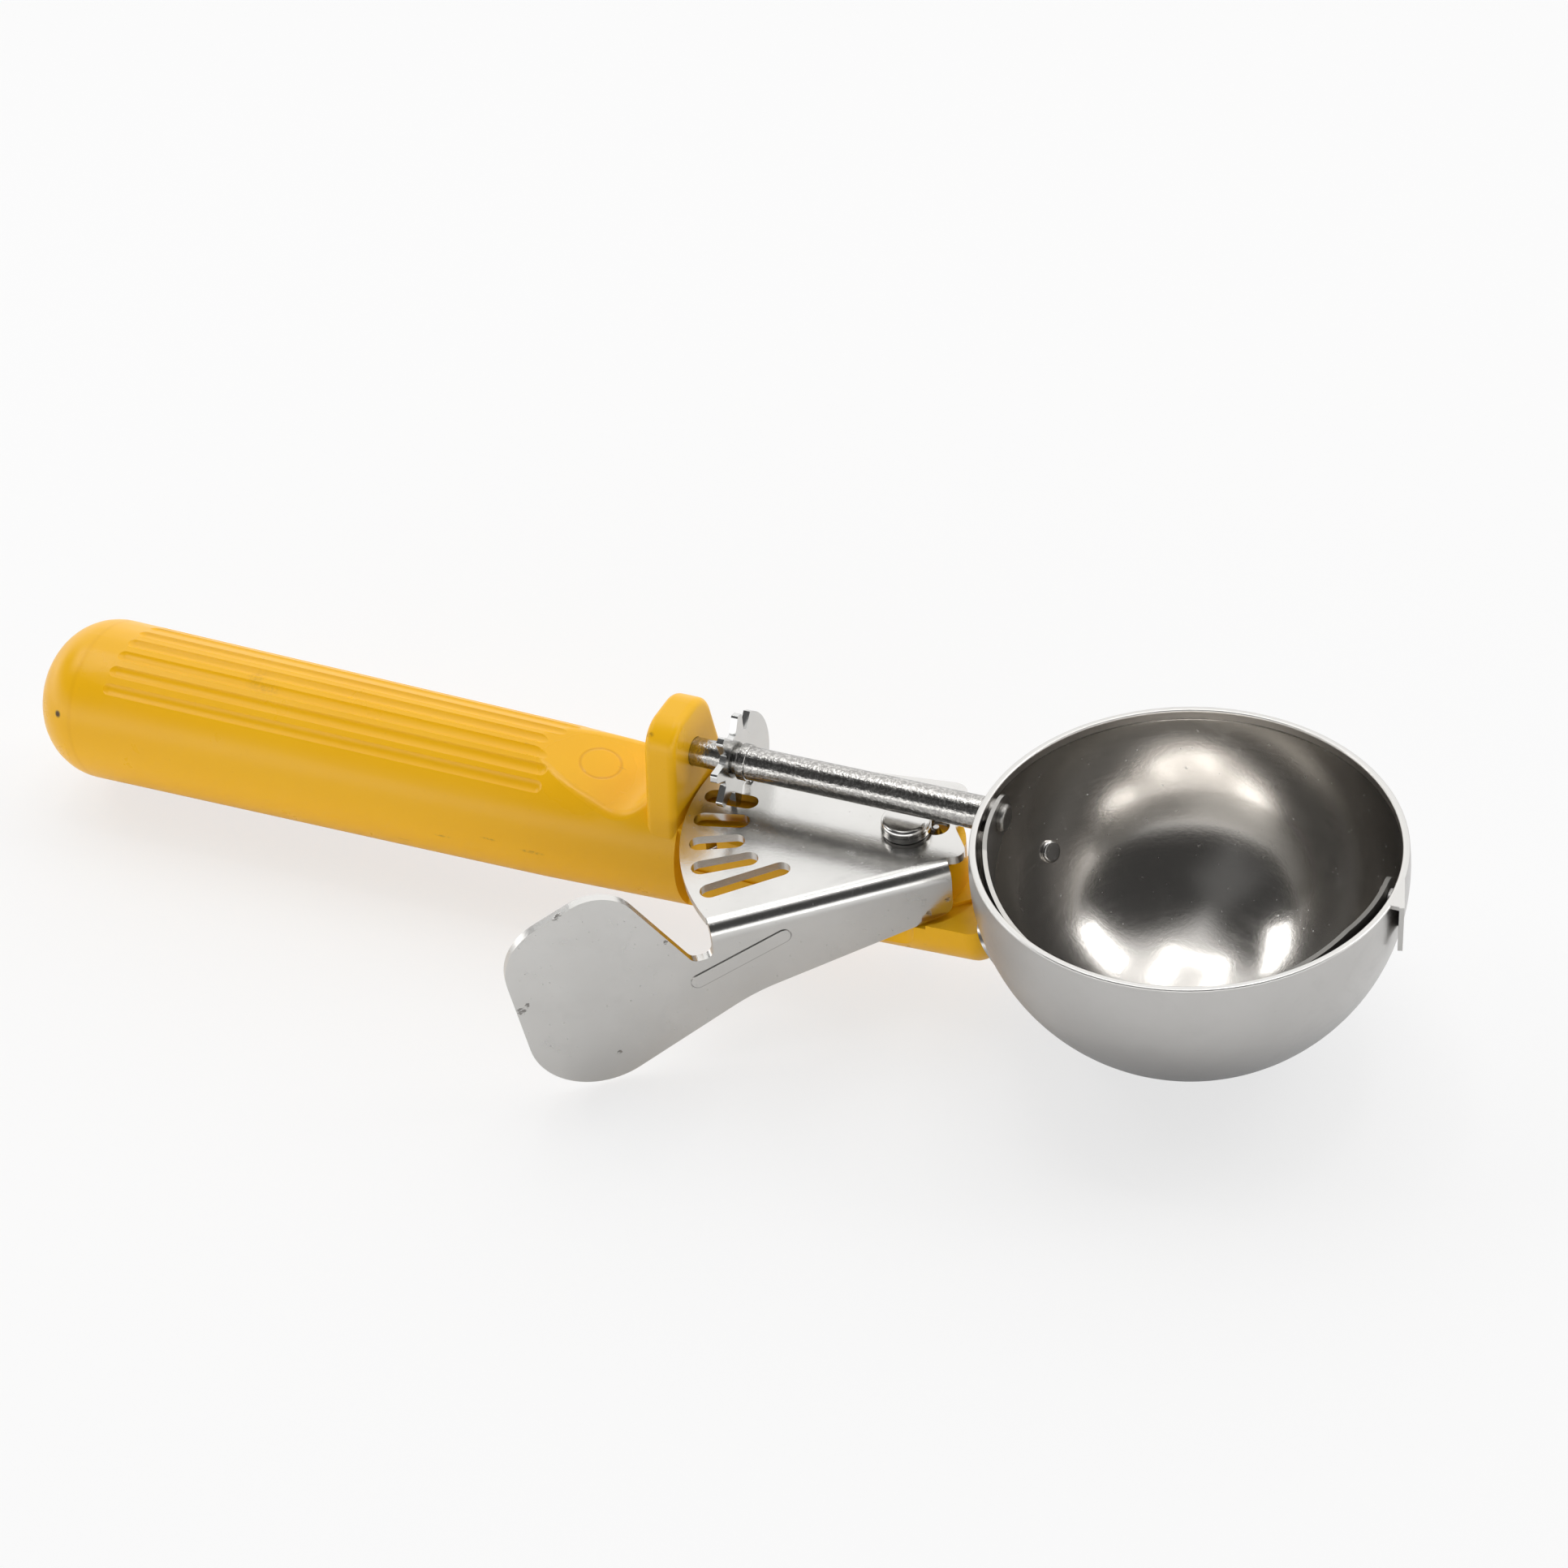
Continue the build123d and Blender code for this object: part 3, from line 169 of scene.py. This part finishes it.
class Surface(Graph):
    """A material round one Principled shader. Its pattern reads Object coordinates in millimetres."""

    def __init__(self, name, **uniform):
        self.material = bpy.data.materials.new(name)
        self.material.use_nodes = True
        super().__init__(self.material.node_tree)
        self.shader = self.tree.nodes["Principled BSDF"]
        for key, value in uniform.items():
            socket = key.replace("_", " ").title().replace("Ior", "IOR")
            self.shader.inputs[socket].default_value = value
        place = self.node("ShaderNodeTexCoord", output="Object")
        self.place = self.node("ShaderNodeVectorMath", {"operation": "SCALE"}, {0: place, "Scale": 1 / MM})
        self.x, self.y, self.z = self.axes(self.place)

    def vector(self, operation, first, second, output=0):
        return self.node("ShaderNodeVectorMath", {"operation": operation}, {0: first, 1: second}, output)

    def noise(self, scale, detail=4.0, roughness=0.55, place=None, distortion=0.0):
        """Noise whose lumps are about 1 / scale millimetres across."""
        return self.node(
            "ShaderNodeTexNoise",
            {"normalize": True},
            {
                "Vector": place or self.place,
                "Scale": scale,
                "Detail": detail,
                "Roughness": roughness,
                "Distortion": distortion,
            },
        )

    def stretched(self, x, y, z):
        """The place on the piece, scaled along each axis."""
        return self.vector("MULTIPLY", self.place, (x, y, z))

    def distance(self, point):
        return self.vector("DISTANCE", self.place, point, "Value")

    def spot(self, point, inner, outer):
        """1 within inner of a point, fading to 0 at outer."""
        return self.step(self.distance(point), inner, outer, 1.0, 0.0)

    def streak(self, point, size):
        """1 at the middle of a stretched blot and 0 beyond its half sizes along the axes."""
        away = self.vector("DIVIDE", self.vector("SUBTRACT", self.place, point), size)
        share = self.node("ShaderNodeVectorMath", {"operation": "LENGTH"}, {0: away}, "Value")
        return self.step(share, 0.3, 1.0, 1.0, 0.0)

    def line(self, offset, width):
        """1 where the offset is 0, fading to 0 at that width on both sides."""
        return self.step(abs(offset), 0.0, width, 1.0, 0.0)

    def blend(self, factor, first, second):
        """Mix of two colours."""
        return self.node("ShaderNodeMix", {"data_type": "RGBA"}, {0: factor, 6: first, 7: second}, 2)

    def finish(self, colour, roughness, height):
        """Feeds the shader. Height is in millimetres."""
        self.join(colour, self.shader.inputs["Base Color"])
        self.join(roughness, self.shader.inputs["Roughness"])
        bump = self.node("ShaderNodeBump", sockets={"Strength": 1.0, "Distance": MM, "Height": height})
        self.join(bump, self.shader.inputs["Normal"])
        return self.material


# ---------------------------------------------------------------- yellow moulding
def yellow_plastic():
    s = Surface("yellow moulded plastic", ior=1.5, specular_ior_level=0.30)
    cloud = s.noise(0.035, 3.0)
    streak = s.noise(1.0, 4.0, place=s.stretched(0.02, 0.25, 0.25))
    speck = s.step(s.noise(0.9, 2.0, 0.6), 0.70, 0.78)
    grime = s.step(s.noise(0.35, 5.0, 0.7), 0.60, 0.80)
    scuff = s.step(s.noise(1.0, 6.0, 0.65, place=s.stretched(0.12, 1.2, 1.2)), 0.62, 0.72)
    scar = s.step(s.noise(1.0, 4.0, 0.6, place=s.stretched(0.10, 0.9, 0.9), distortion=0.4), 0.715, 0.74)
    colour = s.blend(cloud, (0.925, 0.472, 0.005), (0.960, 0.540, 0.012))
    colour = s.blend(streak * 0.25, colour, (0.89, 0.42, 0.004))
    colour = s.blend(speck * 0.10, colour, (0.45, 0.20, 0.01))
    colour = s.blend(grime * 0.06, colour, (0.55, 0.28, 0.03))
    colour = s.blend(scar * 0.30, colour, (0.40, 0.17, 0.03))
    # dark spot left by the gate, ring of the ejector pin on the slope, faint line round the butt, dark rubs
    gate = s.spot(GATE_MARK, 0.25, 0.70)
    colour = s.blend(gate * 0.95, colour, (0.035, 0.015, 0.01))
    ejector_ring = s.line(s.distance(EJECTOR_RING) - EJECTOR_RING_RADIUS, 0.32)
    colour = s.blend(ejector_ring * 0.40, colour, (0.62, 0.26, 0.0))
    butt_line = s.line(s.x - BUTT_LINE_X, 0.6)
    colour = s.blend(butt_line * 0.16, colour, (0.70, 0.30, 0.0))
    blotch = s.step(s.noise(1.8, 4.0, 0.7), 0.36, 0.64)
    for point, size, strength in HANDLE_RUBS:
        colour = s.blend(s.streak(point, size) * blotch * strength, colour, (0.30, 0.13, 0.02))
    polished = s.spot(SLOPE_POLISH, 2.0, 8.0)
    roughness = 0.29 - 0.14 * polished + 0.10 * (s.noise(0.12, 4.0) - 0.5) + 0.12 * scuff + 0.10 * speck
    height = (
        0.030 * s.noise(0.10, 2.0)
        + 0.0014 * s.noise(5.0, 3.0)
        - 0.004 * scuff
        - 0.015 * scar
        - 0.06 * ejector_ring
        + 0.012 * butt_line
        + 0.02 * gate
    )
    return s.finish(colour, roughness, height)


# ---------------------------------------------------------------- steels
def steel(name, dark, light, roughness, spread, grain=0.0008, grain_scale=4.0, mottle=0.0):
    """Stainless or plated steel: cloudy tone, fine grain, specks, scratches along X and a few smudges.

    Grain is its height in millimetres and mottle how dark its hollows are.
    """
    s = Surface(name, metallic=1.0)
    cloud = s.noise(0.12, 4.0, 0.6)
    smudge = s.step(s.noise(0.22, 5.0, 0.65, distortion=0.6), 0.52, 0.74)
    speck = s.step(s.noise(2.2, 2.0, 0.5), 0.70, 0.76)
    marks = s.step(s.noise(1.0, 5.0, 0.6, place=s.stretched(0.15, 2.2, 2.2)), 0.66, 0.72)
    colour = s.blend(cloud, dark, light)
    colour = s.blend(smudge * 0.10, colour, tuple(0.7 * value for value in dark))
    colour = s.blend(speck * 0.30, colour, (0.16, 0.15, 0.14))
    if mottle:
        pits = s.step(s.noise(grain_scale, 3.0, 0.75), 0.42, 0.62, 1.0, 0.0)
        colour = s.blend(pits * mottle, colour, (0.12, 0.115, 0.11))
    rough = roughness + spread * (s.noise(0.30, 5.0, 0.6) - 0.5) + 0.08 * smudge + 0.08 * marks + 0.10 * speck
    height = grain * s.noise(grain_scale, 3.0, 0.6) + 0.0010 * s.noise(0.6, 3.0)
    height = height - 0.0015 * marks - 0.002 * speck
    return s, colour, rough, height


def plain_steel(*details, **more):
    s, colour, rough, height = steel(*details, **more)
    return s.finish(colour, rough, height)


def lever_steel():
    """Polished steel with painted shade along the pressed outline of the rib, darker on its lower side, and a
    few nicks.
    """
    s, colour, rough, height = steel(
        "polished lever steel",
        (0.60, 0.59, 0.57),
        (0.71, 0.70, 0.68),
        0.21,
        0.06,
        grain=0.0080,
        grain_scale=2.4,
    )
    along = (s.x - LEVER_PIVOT_X) * math.cos(FLANGE_TURN) + s.y * math.sin(FLANGE_TURN)
    rise = s.z - PLATE_TOP_Z
    run, climb = RIB_END[0] - RIB_START[0], RIB_END[1] - RIB_START[1]
    length = math.hypot(run, climb)
    forward = ((along - RIB_START[0]) * run + (rise - RIB_START[1]) * climb) / length
    beside = ((rise - RIB_START[1]) * run - (along - RIB_START[0]) * climb) / length
    past = abs(forward - length / 2) - length / 2 + RIB_END_INSET
    past = s.node("ShaderNodeMath", {"operation": "MAXIMUM"}, {0: past, 1: 0.0})
    # painted shade: a dark line round the rib's outline, darker on the side below the rib; the same line also
    # sinks a shallow groove
    outline = s.line((past * past + beside * beside) ** 0.5 - RIB_HALF_WIDTH, 0.16)
    below = s.step(beside, -0.4, 0.5, 1.0, 0.25)
    colour = s.blend(outline * below * 0.75, colour, (0.12, 0.11, 0.10))
    height = height - 0.02 * outline
    for point, size in LEVER_NICKS:
        ragged = s.noise(1.4, 3.0, 0.7, place=s.stretched(1.0, 1.0, 3.0))
        nick = s.step(ragged * s.spot(point, 0.2 * size, 2.2 * size), 0.40, 0.48)
        colour = s.blend(nick * 0.7, colour, (0.10, 0.09, 0.08))
        height = height - 0.02 * nick
    return s.finish(colour, rough, height)


def bowl_steel(name, dark, light):
    """Spun bowl: satin outside, glossier inside with an orange peel, and a turned band under the rim. Painted
    light makes the upper inner wall lighter, and painted shade darkens the outside towards the bottom.
    """
    s = Surface(name, metallic=1.0, coat_ior=2.3, coat_roughness=0.10)
    radius = s.distance(BOWL_CENTRE)
    inside = s.step(radius, BOWL_INNER_RADIUS + 0.15, BOWL_INNER_RADIUS + 0.5, 1.0, 0.0)
    rim = s.step(s.z, -0.25, -0.08)
    turn = s.node("ShaderNodeMath", {"operation": "ARCTAN2"}, {0: s.y, 1: s.x})
    spun = s.node("ShaderNodeCombineXYZ", sockets={0: turn * 0.8, 1: s.z * 3.0, 2: radius * 0.5})
    rings = s.noise(1.0, 4.0, 0.6, place=spun)
    cloud = s.noise(0.09, 4.0, 0.6)
    smudge = s.step(s.noise(0.16, 5.0, 0.65, distortion=0.8), 0.52, 0.76)
    speck = s.step(s.noise(1.5, 2.0, 0.5), 0.725, 0.76)
    hair = s.step(s.noise(1.0, 3.0, 0.6, place=s.stretched(0.25, 2.6, 1.1), distortion=0.5), 0.725, 0.745)
    scribed = s.line(s.z - SCRIBED_LINE_Z, 0.16) * inside
    band = s.step(s.z, *TURNED_BAND_Z) * inside
    colour = s.blend(cloud, dark, light)
    colour = s.blend(smudge * 0.12, colour, tuple(0.72 * value for value in dark))
    warmth = s.step(s.noise(0.07, 3.0), 0.35, 0.65, 0.75, 1.0)
    colour = s.blend(inside * warmth, colour, (0.61, 0.58, 0.54))
    # painted light: the upper inner wall is painted lighter than the bottom of the bowl
    wall = s.step(s.z, -21.0, -9.0) * inside
    colour = s.blend(wall, colour, (0.80, 0.765, 0.72))
    # painted shade: the outside of the bowl darkens towards the bottom
    low = s.step(s.z, -27.5, -9.0, 0.88, 0.0) * (1 - inside)
    colour = s.blend(low, colour, (0.20, 0.20, 0.205))
    colour = s.blend(scribed * 0.6, colour, (0.16, 0.15, 0.14))
    colour = s.blend(speck * inside * 0.5, colour, (0.80, 0.79, 0.77))
    colour = s.blend(rim * 0.8, colour, (0.64, 0.63, 0.61))
    rough = 0.30 - 0.10 * inside + 0.08 * (rings - 0.5)
    rough = rough + 0.05 * smudge + 0.10 * band + 0.15 * speck + 0.1 * hair
    peel = s.noise(2.2, 3.0, 0.6)
    height = (
        0.0030 * rings * (1 - inside)
        + 0.0110 * peel * inside
        + 0.0010 * s.noise(5.0, 3.0)
        + 0.010 * s.noise(0.16, 2.0)
        - 0.02 * scribed
        - 0.008 * s.streak(BOWL_SCRATCH, (4.5, 0.5, 2.5))
        + 0.004 * speck
        + 0.02 * rim * s.noise(1.6, 3.0, 0.7)
    )
    s.join(inside * (1 - rim) * 0.7, s.shader.inputs["Coat Weight"])
    return s.finish(colour, rough, height)


def shaft_steel():
    """Grainy plating, dull on the peened end inside the bowl."""
    s, colour, rough, height = steel(
        "grainy plated shaft",
        (0.49, 0.48, 0.46),
        (0.61, 0.595, 0.57),
        0.15,
        0.06,
        grain=0.050,
        grain_scale=2.1,
        mottle=0.45,
    )
    peened = s.step(s.x, *PEENED_END_X)
    colour = s.blend(peened * 0.8, colour, (0.27, 0.26, 0.245))
    return s.finish(colour, rough + 0.22 * peened, height)


def blade_steel():
    """Spring steel, with painted shade that darkens it past the middle of the bowl, where it is also duller.
    """
    s, colour, rough, height = steel(
        "blade spring steel",
        (0.33, 0.32, 0.30),
        (0.42, 0.41, 0.39),
        0.34,
        0.06,
        grain=0.0035,
        grain_scale=2.6,
    )
    # painted shade: the blade darkens towards the far side of the bowl; there it is also rougher
    painted_shade_and_dull_end = s.step(s.x, *BLADE_FAR_X)
    colour = s.blend(painted_shade_and_dull_end * 0.80, colour, (0.13, 0.125, 0.115))
    return s.finish(colour, rough + 0.12 * painted_shade_and_dull_end, height)


finishes = {
    "handle": yellow_plastic(),
    "bowl": bowl_steel("spun bowl steel", (0.52, 0.51, 0.495), (0.60, 0.59, 0.575)),
    "bowl_rivets": plain_steel("rivet steel", (0.50, 0.49, 0.48), (0.62, 0.61, 0.60), 0.20, 0.08),
    "scraper_blade": blade_steel(),
    "scraper_pin": plain_steel("pin steel", (0.34, 0.33, 0.32), (0.44, 0.43, 0.42), 0.24, 0.08),
    "scraper_shaft": shaft_steel(),
    "star_wheel": plain_steel("polished wheel steel", (0.58, 0.58, 0.57), (0.69, 0.69, 0.68), 0.17, 0.06),
    "lever": lever_steel(),
    "pivot_rivet": plain_steel(
        "plated rivet steel", (0.60, 0.59, 0.57), (0.72, 0.71, 0.69), 0.15, 0.06, grain=0.003
    ),
    "pivot_washer": plain_steel("plated washer steel", (0.58, 0.57, 0.55), (0.70, 0.69, 0.67), 0.16, 0.06),
    "wave_washer": plain_steel("wave washer steel", (0.34, 0.33, 0.32), (0.46, 0.45, 0.44), 0.30, 0.10),
    "pivot_spacer": plain_steel("spacer steel", (0.38, 0.37, 0.36), (0.50, 0.49, 0.48), 0.32, 0.10),
    "tang": plain_steel("tang steel", (0.42, 0.41, 0.40), (0.56, 0.55, 0.54), 0.30, 0.12),
    "torsion_spring": plain_steel("spring wire steel", (0.40, 0.39, 0.38), (0.54, 0.53, 0.52), 0.28, 0.10),
}
for name, material in finishes.items():
    mesh = nodes[name].data
    for index in range(max(1, len(mesh.materials))):
        if len(mesh.materials) > index:
            mesh.materials[index] = material
        else:
            mesh.materials.append(material)

# ---------------------------------------------------------------- wound spring
# On the scoop the coil winds up as the lever turns; its foot and long leg stay in the handle and its post
# goes with the lever.
# Here a copy of the spring's mesh, baked in place, takes the place of the CAD spring, which is hidden.
solid_spring = nodes["torsion_spring"]
mesh = solid_spring.data.copy()
mesh.name = "wound_spring"
mesh.transform(solid_spring.matrix_world)
wound_spring = bpy.data.objects.new("wound_spring", mesh)
bpy.context.scene.collection.objects.link(wound_spring)
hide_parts("torsion_spring")
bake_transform(wound_spring)

# ---------------------------------------------------------------- table, lamps and room
TABLE_Z = solid_box[0][2] - 0.0002
TABLE_HALF_SIZE = 3.0
TABLE_GLOW = 0.70  # share of plain white that the camera sees, over the lit table
TABLE_GLOW_IN_STEEL = 0.18  # the same in reflections
LAMP_DISTANCE = 0.9
LOW_WALLS = 2.10
FRONT_CEILING = 0.055
BACK_WALL = 1.25
CEILING = 0.90
FRONT_PATCH = 0.10
CAMERA_TURN = 19.245  # degrees round the scoop
CAMERA_RISE = 40.562  # degrees above the table
CAMERA_DISTANCE = 364.472  # millimetres
CAMERA_TILT = (-0.02, -0.137, 0.012)  # last turn of the camera about its own axes, in radians


def table_finish():
    s = Surface("white table", roughness=0.6)
    s.shader.inputs["Base Color"].default_value = (0.9, 0.9, 0.9, 1.0)
    seen, mirrored, through = (
        s.node("ShaderNodeLightPath", output=f"Is {ray} Ray") for ray in ("Camera", "Glossy", "Transmission")
    )
    share = seen * TABLE_GLOW + (mirrored + through) * TABLE_GLOW_IN_STEEL
    glow = s.node("ShaderNodeEmission", sockets={"Color": (1.0, 1.0, 1.0), "Strength": 1.0})
    lit = Signal(s, s.shader.outputs[0])
    mix = s.node("ShaderNodeMixShader", sockets={0: share.clamped(), 1: lit, 2: glow})
    s.join(mix, s.tree.nodes["Material Output"].inputs["Surface"])
    return s.material


bm = bmesh.new()
bmesh.ops.create_grid(bm, x_segments=2, y_segments=2, size=TABLE_HALF_SIZE)
bmesh.ops.translate(bm, verts=bm.verts, vec=(0.0, 0.0, TABLE_Z))
mesh = bpy.data.meshes.new("table")
bm.to_mesh(mesh)
bm.free()
table = bpy.data.objects.new("table", mesh)
mesh.materials.append(table_finish())
bpy.context.scene.collection.objects.link(table)


def softbox(name, across, back, size, brightness):
    """Lamp that faces the bowl from above. Its place towards +X and +Y and its size are in degrees."""
    wide, deep = (2 * LAMP_DISTANCE * math.tan(math.radians(angle / 2)) for angle in size)
    lamp = bpy.data.lights.new(name, "AREA")
    lamp.shape = "RECTANGLE"
    lamp.size, lamp.size_y = wide, deep
    lamp.energy = brightness * math.pi * wide * deep
    made = bpy.data.objects.new(name, lamp)
    away = math.radians(math.hypot(across, back))
    turn = math.atan2(back, across)
    aim = Vector((math.sin(away) * math.cos(turn), math.sin(away) * math.sin(turn), math.cos(away)))
    side = Vector((1.0, 0.0, 0.0)) - aim * aim.x
    side.normalize()
    axes = Matrix((side, aim.cross(side), aim)).transposed()
    made.matrix_world = Matrix.Translation(aim * LAMP_DISTANCE) @ axes.to_4x4()
    bpy.context.scene.collection.objects.link(made)


softbox("frame lamp front", -6, 7, (30, 5), 3.7)
softbox("frame lamp left", -19, 17, (6, 22), 3.8)
softbox("frame lamp right", 6, 18, (7, 22), 3.8)
softbox("left softbox", -47, 1, (13, 26), 3.6)
softbox("right softbox", 37, 28, (24, 14), 3.4)


def room():
    """Pale room: a bright wall and ceiling behind, a dim ceiling in front and pale low walls."""
    world = bpy.data.worlds.new("room")
    bpy.context.scene.world = world
    world.use_nodes = True
    g = Graph(world.node_tree)
    across, back, up = g.axes(g.node("ShaderNodeTexCoord", output="Generated"))
    front = g.step(up, 0.20, 0.42, LOW_WALLS, FRONT_CEILING)
    behind = g.step(back, 0.10, 0.50)
    patch = g.step(abs(across + 0.16) + abs(back + 0.65), 0.10, 0.50, FRONT_PATCH, 0.0)
    ceiling = g.step(abs(across + 0.05) + abs(back - 0.30), 0.35, 0.85, CEILING, 0.0) * (1 - behind)
    strength = front * (1 - behind) + BACK_WALL * behind + ceiling + patch
    g.join(strength, world.node_tree.nodes["Background"].inputs["Strength"])
    world.node_tree.nodes["Background"].inputs["Color"].default_value = (1.0, 1.0, 1.0, 1.0)


room()

camera = bpy.data.objects.new("camera", bpy.data.cameras.new("camera"))
camera.data.sensor_width = 36.0
camera.data.lens = 67.08
camera.data.clip_start = 0.01
aim = Matrix.Rotation(math.radians(CAMERA_TURN), 3, "Z")
aim = aim @ Matrix.Rotation(math.radians(90 - CAMERA_RISE), 3, "X")
tilt = Vector(CAMERA_TILT)
place = Matrix.Translation(aim.col[2] * CAMERA_DISTANCE * MM)
camera.matrix_world = place @ (aim @ Matrix.Rotation(-tilt.length, 3, tilt)).to_4x4()
bpy.context.scene.collection.objects.link(camera)
bpy.context.scene.camera = camera
bpy.context.scene.view_settings.view_transform = "Standard"
